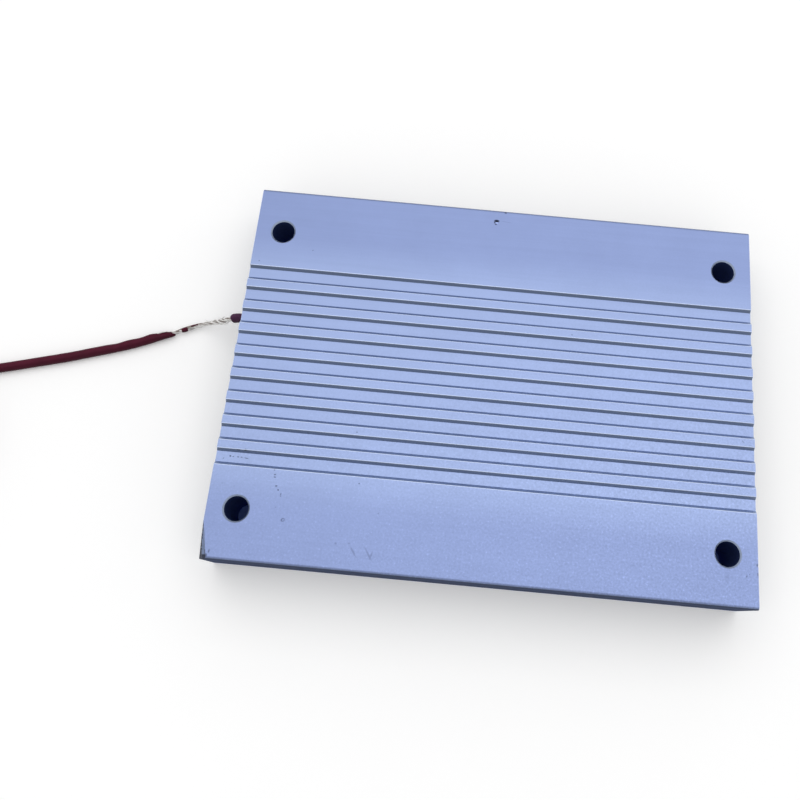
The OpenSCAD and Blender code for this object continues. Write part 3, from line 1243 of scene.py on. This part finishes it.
def split(tree, vector):
    """X, Y and Z of a vector."""
    return put(tree, "ShaderNodeSeparateXYZ", {0: vector}).outputs


def calc(tree, operation, *values):
    """Value of a sum, product or like of one to three values."""
    return put(tree, "ShaderNodeMath", dict(enumerate(values)), operation=operation).outputs[0]


def product(tree, first, *others):
    """Product of several values."""
    for other in others:
        first = calc(tree, "MULTIPLY", first, other)
    return first


def ramp(tree, value, low, high, to_low=0.0, to_high=1.0):
    """Value that goes smoothly from one to another as its input goes from low to high."""
    ends = {0: value, 1: low, 2: high, 3: to_low, 4: to_high}
    return put(tree, "ShaderNodeMapRange", ends, interpolation_type="SMOOTHSTEP").outputs[0]


def scaled(tree, base, factor):
    """A colour times a factor."""
    return put(tree, "ShaderNodeVectorMath", {0: base, "Scale": factor}, operation="SCALE").outputs[0]


def blend(tree, share, first, second):
    """Colour between two colours."""
    node = put(tree, "ShaderNodeMix", {0: share}, data_type="RGBA")
    colour_sockets = node.inputs[6:8]
    for socket, value in zip(colour_sockets, (first, second)):
        feed(tree, socket, value if isinstance(value, bpy.types.NodeSocket) else (*value, 1))
    return node.outputs[2]


def make_grain_group():
    """Group for a fine mottling: a factor round 1, and a height that goes with it."""
    group = bpy.data.node_groups.new("fine_grain", "ShaderNodeTree")
    for name, kind in (
        ("Vector", "NodeSocketVector"),
        ("Stretch", "NodeSocketVector"),
        ("Scale", "NodeSocketFloat"),
        ("Amount", "NodeSocketFloat"),
    ):
        group.interface.new_socket(name, in_out="INPUT", socket_type=kind)
    for name in ("Shade", "Height"):
        group.interface.new_socket(name, in_out="OUTPUT", socket_type="NodeSocketFloat")
    given = group.nodes.new("NodeGroupInput").outputs
    result = group.nodes.new("NodeGroupOutput").inputs
    spread = put(
        group, "ShaderNodeVectorMath", {0: given["Vector"], 1: given["Stretch"]}, operation="MULTIPLY"
    )
    field = put(
        group,
        "ShaderNodeTexNoise",
        {"Vector": spread.outputs[0], "Scale": given["Scale"], "Detail": 3.0, "Roughness": 0.6},
    ).outputs[0]
    # The noise keeps near a half, and is spread here to both sides of 0
    centred = calc(group, "MULTIPLY_ADD", field, 4.0, -2.0)
    group.links.new(calc(group, "MULTIPLY_ADD", centred, given["Amount"], 1.0), result["Shade"])
    group.links.new(field, result["Height"])


def grain(tree, place, scale, amount, stretch=EVEN):
    """Places the mottling group in a finish; scale is in lumps a metre."""
    inputs = {"Vector": place, "Stretch": stretch, "Scale": scale, "Amount": amount}
    return put(tree, "ShaderNodeGroup", inputs, node_tree=bpy.data.node_groups["fine_grain"]).outputs


def new_finish(name, **sockets):
    """New finish with its plain values set: its tree, shader and place on the piece."""
    material = bpy.data.materials.new(FINISH + name)
    material.use_nodes = True
    tree = material.node_tree
    shader = tree.nodes["Principled BSDF"]
    for socket, value in sockets.items():
        shader.inputs[socket.replace("_", " ")].default_value = value
    place = put(tree, "ShaderNodeTexCoord").outputs
    return tree, shader, place


def tint(tree, shader, base, factor):
    """Base colour as a colour times a factor over the surface."""
    tree.links.new(scaled(tree, base, factor), shader.inputs["Base Color"])


def roughen(tree, shader, height, gain, least):
    """Roughness that grows with a height over the surface."""
    tree.links.new(calc(tree, "MULTIPLY_ADD", height, gain, least), shader.inputs["Roughness"])


def bump(tree, shader, height, strength, depth):
    """Relief from a height over the surface; depth in millimetres."""
    inputs = {"Height": height, "Strength": strength, "Distance": depth * MM}
    tree.links.new(put(tree, "ShaderNodeBump", inputs).outputs[0], shader.inputs["Normal"])


# Marks on the upper face: X, Y, half length and half width in millimetres, turn in degrees, tone
MARKS = (
    # Trail of dots from the grooves, right of the front left hole
    (-42.63, -21.85, 0.18, 0.13, 0, 0.47),
    (-42.38, -22.75, 0.25, 0.16, 20, 0.43),
    (-42.33, -23.25, 0.25, 0.16, -10, 0.43),
    (-41.78, -24.95, 0.28, 0.16, 10, 0.38),
    (-41.28, -25.7, 0.21, 0.16, -60, 0.3),
    (-40.63, -26.45, 0.25, 0.12, 80, 0.47),
    (-40.63, -26.85, 0.19, 0.12, 0, 0.53),
    (-41.28, -29.05, 0.15, 0.1, 0, 0.64),
    # Row of dots in the first groove from the front
    (-53.38, -20.35, 0.2, 0.13, 30, 0.53),
    (-52.08, -19.8, 0.22, 0.18, 0, 0.3),
    (-51.48, -19.85, 0.2, 0.13, 0, 0.47),
    (-50.48, -19.85, 0.25, 0.12, 0, 0.38),
    (-49.78, -19.85, 0.25, 0.12, 0, 0.47),
    (-48.78, -19.95, 0.5, 0.12, -8, 0.47),
    # Single dots, a scratch, and two dark spots on a groove's wall
    (-41.83, 26.2, 0.18, 0.12, 40, 0.53),
    (-53.18, 22.65, 0.16, 0.13, 90, 0.45),
    (52.62, -33.9, 0.25, 0.16, 60, 0.47),
    (53.22, -33.45, 0.2, 0.1, 50, 0.59),
    (-27.08, -12.75, 0.22, 0.13, 0, 0.53),
    (16.12, 12.25, 0.2, 0.13, 0, 0.53),
    (52.52, -7.38, 0.45, 0.11, -45, 0.65),
    (-49.08, -18.37, 0.38, 0.2, 0, 0.21),
    (-50.58, -18.47, 0.44, 0.13, 0, 0.3),
    # Nick behind the grooves with painted shade in it and at its rim, its light lip, the scratch from
    # it, and painted shade in the nick in the back edge
    (-1.93, 37.28, 0.66, 0.36, 0, 0.08),
    (-2.36, 36.95, 0.2, 0.36, 0, 0.3),
    (-2.08, 36.48, 0.28, 0.2, 0, 0.3),
    (-1.9, 36.82, 0.3, 0.22, 0, 1.5),
    (0.26, 37.25, 1.5, 0.1, -5, 0.85),
    (-0.06, 39.55, 0.35, 0.3, 0, 0.28),
    # Small ring with its light middle
    (-39.48, -31.35, 0.45, 0.39, 30, 0.5),
    (-39.43, -31.35, 0.2, 0.16, 30, 1.05),
    # Nicks in the right edge
    (54.75, -31.6, 0.22, 0.36, 0, 0.56),
    (54.8, -33.3, 0.16, 0.35, 0, 0.6),
    # Scratches and spots on the front margin
    (-24.84, -36.16, 1.18, 0.22, -54, 0.75),
    (-21.87, -36.32, 1.64, 0.2, -56, 0.78),
    (-21.33, -36.63, 0.9, 0.2, 73, 0.77),
    (-28.47, -34.86, 0.26, 0.22, 0, 0.74),
    (-25.86, -34.63, 0.26, 0.2, 0, 0.78),
    (-25.33, -22.98, 0.17, 0.17, 0, 0.45),
    (-20.81, -28.44, 0.17, 0.17, 0, 0.72),
    (-50.11, -25.73, 0.3, 0.22, 0, 0.92),
    (-52.62, -25.33, 0.3, 0.22, 0, 0.9),
    # Scuffs by the crushed corner, a smear by the front right hole and a scratch at the right end
    (-52.86, -38.44, 0.4, 0.16, 85, 0.5),
    (-53.3, -39.25, 0.28, 0.36, 0, 0.5),
    (48.8, -34.4, 0.45, 1.1, 0, 0.91),
    (53.98, -7.98, 0.38, 0.07, -18, 0.75),
)
# Shares of its half size up to which a mark is full, and at which it is gone
MARK_FULL, MARK_GONE = 0.5, 1.2


def marks_tone(tree, spot):
    """Tone of a place on the upper face: 1, or what the mark that lies there makes it."""
    x, y, _ = split(tree, spot)
    flat = put(tree, "ShaderNodeCombineXYZ", {0: x, 1: y}).outputs[0]
    tone = 1.0
    for mark_x, mark_y, half_l, half_w, turn, mark_tone in MARKS:
        own = put(
            tree,
            "ShaderNodeMapping",
            {
                "Vector": flat,
                "Location": (mark_x * MM, mark_y * MM, 0),
                "Rotation": (0, 0, math.radians(turn)),
                "Scale": (half_l * MM, half_w * MM, 1),
            },
            vector_type="TEXTURE",
        ).outputs[0]
        away = put(tree, "ShaderNodeVectorMath", {0: own}, operation="LENGTH").outputs["Value"]
        cover = ramp(tree, away, MARK_FULL, MARK_GONE, to_low=1.0, to_high=0.0)
        tone = put(tree, "ShaderNodeMix", {0: cover, 2: tone, 3: mark_tone}).outputs[0]
    return tone


def finish_anodised(size, colours):
    """Satin anodised aluminium: die lines, cloudy tone and marks, with painted light on a lighter
    field and across the face, and painted shade on darker walls.
    """
    tree, shader, place = new_finish("anodised", Metallic=1.0)
    spot = place["Object"]
    x, y, _ = split(tree, spot)
    _, to_back, tilt = split(tree, place["Normal"])
    half_l, half_w = size.body_l / 2 * MM, size.body_w / 2 * MM

    # Speckle that grows towards the front right, with flecks on the front half
    by_front = ramp(tree, y, -half_w, half_w, to_low=0.095, to_high=0.012)
    by_right = ramp(tree, x, -half_l, half_l, to_low=1.05, to_high=2.2)
    speckle = grain(tree, spot, scale=2200, amount=product(tree, by_front, by_right))
    fleck_tone = ramp(tree, y, -half_w, 0.0, to_low=1.15, to_high=1.0)
    flecks = ramp(tree, speckle["Height"], low=0.6, high=0.72, to_low=1.0, to_high=fleck_tone)

    # Blotches, clouds and die lines, and painted light: a tone that is higher to the right and lower
    # at the back
    by_half = ramp(tree, y, -half_w, 0.0, to_low=0.025, to_high=0.01)
    blotches = grain(tree, spot, scale=400, amount=by_half)
    clouds = grain(tree, spot, scale=70, amount=0.03)
    lines = grain(tree, spot, scale=1500, amount=0.025, stretch=DRAWN)
    right_light_gain, fade_y = 0.045, 25
    tone = calc(tree, "MULTIPLY_ADD", x, right_light_gain / half_l, 1.0)
    back_light_fade = ramp(tree, y, 0.0, fade_y * MM, to_low=1.0, to_high=0.955)
    shades = [part["Shade"] for part in (speckle, blotches, clouds, lines)]
    factor = product(tree, marks_tone(tree, spot), flecks, *shades, tone, back_light_fade)

    # Painted light on the field from inside the outer grooves to past them, and painted shade on the
    # walls, of which the back ones are lighter
    reach = size.groove_pitch * (size.groove_count - 1) / 2 + size.groove_w / 2
    inside, past = 2, 9
    inner, outer = (reach - inside) * MM, (reach + past) * MM
    grooved = ramp(tree, calc(tree, "ABSOLUTE", y), inner, outer, to_low=1.0, to_high=0.0)
    skin = blend(tree, grooved, colours.anodised, colours.field)
    # Painted shade on the walls, less of it on the back walls, which face the light
    back_wall_light = ramp(tree, to_back, low=-0.1, high=0.1, to_low=1.0, to_high=1.8)
    is_wall = ramp(tree, tilt, low=0.72, high=0.9, to_low=1.0, to_high=0.0)
    skin = blend(tree, is_wall, skin, scaled(tree, colours.shaded_walls, back_wall_light))
    tint(tree, shader, skin, factor)
    roughen(tree, shader, speckle["Height"], gain=0.12, least=0.34)
    relief = calc(tree, "ADD", speckle["Height"], lines["Height"])
    bump(tree, shader, relief, strength=0.12, depth=0.02)


def finish_bore(colours):
    """Bores painted near black as shade, darkest at their upper mouths, where the light falls in."""
    tree, shader, place = new_finish("bore", Roughness=0.75, Specular_IOR_Level=0.0)
    mottle = grain(tree, place["Object"], scale=1500, amount=0.1)
    z = split(tree, place["Object"])[2]
    # Painted shade deepest at the top, where the light falls in, to even it out down the bore
    tone = ramp(tree, z, 0.0, HOUSING_HIGH.z * MM, to_low=2.2, to_high=0.45)
    tint(tree, shader, colours.bore, product(tree, mottle["Shade"], tone))
    bump(tree, shader, mottle["Height"], strength=0.3, depth=0.02)


def finish_insulation(colours):
    """Silicone insulation, dulled by handling, with painted shade on its front side and painted bluish
    light at its outlet.
    """
    tree, shader, place = new_finish("insulation", Specular_IOR_Level=0.1)
    spot = place["Object"]
    mottle = grain(tree, spot, scale=900, amount=0.1)
    dirt = grain(tree, spot, scale=180, amount=0.16)
    to_back = split(tree, place["Normal"])[1]
    # Painted shade on the front side, and a little painted light on the upper back
    shade = ramp(tree, to_back, low=-1.0, high=0.4, to_low=0.66, to_high=1.06)
    # Painted bluish light that grows from 9 mm out to full at 3 mm from the outlet
    plain_from, blue_lit_to = 9, 3
    by_outlet = ramp(tree, split(tree, spot)[0], out(plain_from) * MM, out(blue_lit_to) * MM)
    base = blend(tree, by_outlet, colours.insulation, colours.outlet)
    tint(tree, shader, base, product(tree, mottle["Shade"], dirt["Shade"], shade))
    roughen(tree, shader, dirt["Height"], gain=0.3, least=0.32)
    bump(tree, shader, mottle["Height"], strength=0.2, depth=0.06)


def finish_strands(colours):
    """Dull tinned strands with stains, and grey patches of painted shade."""
    tree, shader, place = new_finish("strands", Metallic=0.3)
    stain = grain(tree, place["Object"], scale=600, amount=0.22)
    patches = grain(tree, place["Object"], scale=260, amount=0)
    # Painted shade in grey patches
    patch_shade = ramp(tree, patches["Height"], low=0.52, high=0.68, to_low=1.0, to_high=0.5)
    tint(tree, shader, colours.strands, product(tree, stain["Shade"], patch_shade))
    roughen(tree, shader, stain["Height"], gain=0.3, least=0.3)


# Plain values of a shader: bare metal, metal with a tint that holds back its reflection at a flat
# angle so that the flanks keep their painted shade, scuffed metal that reflects less so that it keeps
# its painted shade, and what is no metal
METAL = {"Metallic": 1.0}
SHADE_DULLED_METAL = {"Metallic": 1.0, "Specular_Tint": (0.25, 0.28, 0.36, 1)}
SCUFFED_SHADED_METAL = {"Metallic": 0.4, "Specular_IOR_Level": 0.2}
NO_METAL = {}
# Finishes of one colour: colour, lumps a metre, how far they shade it, least roughness, relief in
# millimetres, stretch of the lumps, and plain values
PLAIN_FINISHES = {
    "shaded_flank": ("shaded_flank", 1500, 0.05, 0.4, 0.02, DRAWN, SHADE_DULLED_METAL),
    # Broken edges lightened with a painted highlight
    "broken_edge_highlight": ("edge", 1200, 0.1, 0.3, 0.01, EVEN, METAL),
    # Chamfers lightened with a painted highlight
    "chamfer": ("bare", 1200, 0.12, 0.3, 0.02, EVEN, METAL),
    "sawn_end": ("sawn", 900, 0.1, 0.35, 0.03, SAWN, METAL),
    # Crushed metal: scuffed, and darkened with painted shade
    "crushed_metal_and_shade": ("crushed", 1800, 0.22, 0.4, 0.06, EVEN, SCUFFED_SHADED_METAL),
    "scuffed_skin": ("scuffed", 1800, 0.2, 0.35, 0.06, EVEN, METAL),
    # Core darkened as painted shade between the strands
    "core": ("core", 1500, 0.3, 0.5, 0.05, EVEN, NO_METAL),
    "seal": ("seal", 500, 0.08, 0.4, 0.15, EVEN, NO_METAL),
    "mica": ("mica", 350, 0.18, 0.35, 0.05, FLAKY, NO_METAL),
    "ribbon": ("ribbon", 900, 0.1, 0.25, 0.02, ROLLED, METAL),
    "tinned": ("tinned", 800, 0.08, 0.2, 0.03, EVEN, METAL),
    "tie": ("tie", 1200, 0.15, 0.35, 0.03, EVEN, NO_METAL),
}


def finish_plain(name, base, scale, amount, least, depth, stretch, sockets):
    """Finish of one colour with its own mottling, gloss and relief."""
    tree, shader, place = new_finish(name, **sockets)
    mottle = grain(tree, place["Object"], scale, amount, stretch)
    tint(tree, shader, base, mottle["Shade"])
    roughen(tree, shader, mottle["Height"], gain=0.3, least=least)
    bump(tree, shader, mottle["Height"], strength=0.3, depth=depth)


class RESISTOR_OT_finishes(bpy.types.Operator):
    """Make the finishes, and give the pieces inside the housing theirs"""

    bl_idname = "resistor.finishes"
    bl_label = "Finishes"

    def execute(self, context):
        colours = context.scene.resistor_colours
        make_grain_group()
        finish_anodised(sizes_mm(context), colours)
        finish_bore(colours)
        finish_insulation(colours)
        finish_strands(colours)
        for name, (base, *values) in PLAIN_FINISHES.items():
            finish_plain(name, getattr(colours, base), *values)
        for row in frame["record"]["subparts"]:
            node = frame["nodes"][row["node"]]
            node.data.materials.clear()
            coat(node, row["material_slot"])
        return {"FINISHED"}


# Stage

# Camera that shows the part as the photograph does: place in millimetres, angles in degrees, focal
# length and sensor in millimetres, shift as a share of the picture, and nearest view in metres
CAMERA_AT = (-8.003, -47.051, 204.302)
CAMERA_TURN = (21.1309, -1.6561, 4.9714)
CAMERA_LENS = 41.4404
CAMERA_SENSOR = 36
CAMERA_SHIFT = (-0.07717, -0.17075)
CAMERA_NEAREST = 0.01
# Soft box over the part: side and place in metres, glow as a share of white
SOFTBOX_SIDE = 1.6
SOFTBOX_AT = (0.0, 0.25, 1.1)
SOFTBOX_GLOW = 0.8
# Glow of the room as a share of white, and side of the floor in metres
ROOM_GLOW = 0.67
FLOOR_SIDE = 8.0
# Colours of the floor beside the housing and under it, where only the holes show it, painted blue as
# shade, and what the floor lacks to white where it is looked at
FLOOR_COLOUR = (0.97, 0.97, 0.97)
UNDER_SHADE_COLOUR = (0.2, 0.32, 0.81)
FLOOR_LIFT = 0.08


def finish_floor():
    """Pale floor that keeps the shadow, with painted blue shade under the housing."""
    tree, shader, place = new_finish("floor", Roughness=0.8)
    x, y, _ = split(tree, place["Object"])
    beside = calc(tree, "GREATER_THAN", calc(tree, "ABSOLUTE", x), HOUSING_HIGH.x * MM)
    before = calc(tree, "GREATER_THAN", calc(tree, "ABSOLUTE", y), HOUSING_HIGH.y * MM)
    clear = calc(tree, "MAXIMUM", beside, before)
    paper = grain(tree, place["Object"], scale=40, amount=0.004)
    tint(tree, shader, blend(tree, clear, UNDER_SHADE_COLOUR, FLOOR_COLOUR), paper["Shade"])
    seen = put(tree, "ShaderNodeLightPath").outputs
    mirrored = calc(tree, "ADD", seen["Is Glossy Ray"], seen["Is Transmission Ray"])
    looked_at = calc(tree, "ADD", seen["Is Camera Ray"], mirrored)
    glow = put(tree, "ShaderNodeEmission", {"Strength": product(tree, looked_at, clear, FLOOR_LIFT)})
    both = put(tree, "ShaderNodeAddShader", {0: shader.outputs[0], 1: glow.outputs[0]})
    tree.links.new(both.outputs[0], tree.nodes["Material Output"].inputs["Surface"])


class RESISTOR_OT_stage(bpy.types.Operator):
    """Set the floor, the soft light and the camera"""

    bl_idname = "resistor.stage"
    bl_label = "Stage"

    def execute(self, context):
        scene = context.scene
        scene.view_settings.view_transform = "Standard"
        finish_floor()
        floor = add(bpy.ops.mesh.primitive_plane_add, size=FLOOR_SIDE)
        floor.name = "floor"
        coat(floor, "floor")

        world = bpy.data.worlds.new("room")
        world.use_nodes = True
        backdrop = world.node_tree.nodes["Background"]
        backdrop.inputs["Color"].default_value = (ROOM_GLOW, ROOM_GLOW, ROOM_GLOW, 1)
        scene.world = world

        lamp = bpy.data.lights.new("softbox", "AREA")
        lamp.size = SOFTBOX_SIDE
        lamp.energy = SOFTBOX_GLOW * math.pi * SOFTBOX_SIDE**2
        softbox = bpy.data.objects.new("softbox", lamp)
        softbox.location = SOFTBOX_AT
        softbox.rotation_euler = (-Vector(SOFTBOX_AT)).to_track_quat("-Z", "Y").to_euler()
        scene.collection.objects.link(softbox)

        lens = bpy.data.cameras.new("camera")
        lens.lens = CAMERA_LENS
        lens.sensor_width = CAMERA_SENSOR
        lens.shift_x, lens.shift_y = CAMERA_SHIFT
        lens.clip_start = CAMERA_NEAREST
        camera = bpy.data.objects.new("camera", lens)
        camera.location = Vector(CAMERA_AT) * MM
        camera.rotation_euler = [math.radians(a) for a in CAMERA_TURN]
        scene.collection.objects.link(camera)
        scene.camera = camera
        return {"FINISHED"}


class RESISTOR_PT_panel(bpy.types.Panel):
    """Steps that build the resistor, with its sizes and colours"""

    bl_label = "Flat braking resistor"
    bl_idname = "RESISTOR_PT_panel"
    bl_space_type = "VIEW_3D"
    bl_region_type = "UI"
    bl_category = "Resistor"

    def draw(self, context):
        for step in STEPS:
            self.layout.operator(step.bl_idname)
        for group in (context.scene.resistor_sizes, context.scene.resistor_colours):
            box = self.layout.box()
            for name in type(group).__annotations__:
                box.prop(group, name)


STEPS = (
    RESISTOR_OT_finishes,
    RESISTOR_OT_stage,
    RESISTOR_OT_lead_fittings,
    RESISTOR_OT_lead,
    RESISTOR_OT_seals,
    RESISTOR_OT_housing,
)
CLASSES = (ResistorSizes, ResistorColours, *STEPS, RESISTOR_PT_panel)


def register():
    """Registers the classes and gives the scene its sizes and colours."""
    for cls in CLASSES:
        bpy.utils.register_class(cls)
    bpy.types.Scene.resistor_sizes = bpy.props.PointerProperty(type=ResistorSizes)
    bpy.types.Scene.resistor_colours = bpy.props.PointerProperty(type=ResistorColours)


def unregister():
    """Takes the sizes, the colours and the classes away again."""
    del bpy.types.Scene.resistor_colours
    del bpy.types.Scene.resistor_sizes
    for cls in reversed(CLASSES):
        bpy.utils.unregister_class(cls)


def main():
    """Builds the resistor on its stage."""
    register()
    bpy.ops.resistor.finishes()
    bpy.ops.resistor.stage()
    bpy.ops.resistor.lead_fittings()
    bpy.ops.resistor.lead()
    bpy.ops.resistor.seals()
    bpy.ops.resistor.housing()


if __name__ == "__main__":
    main()
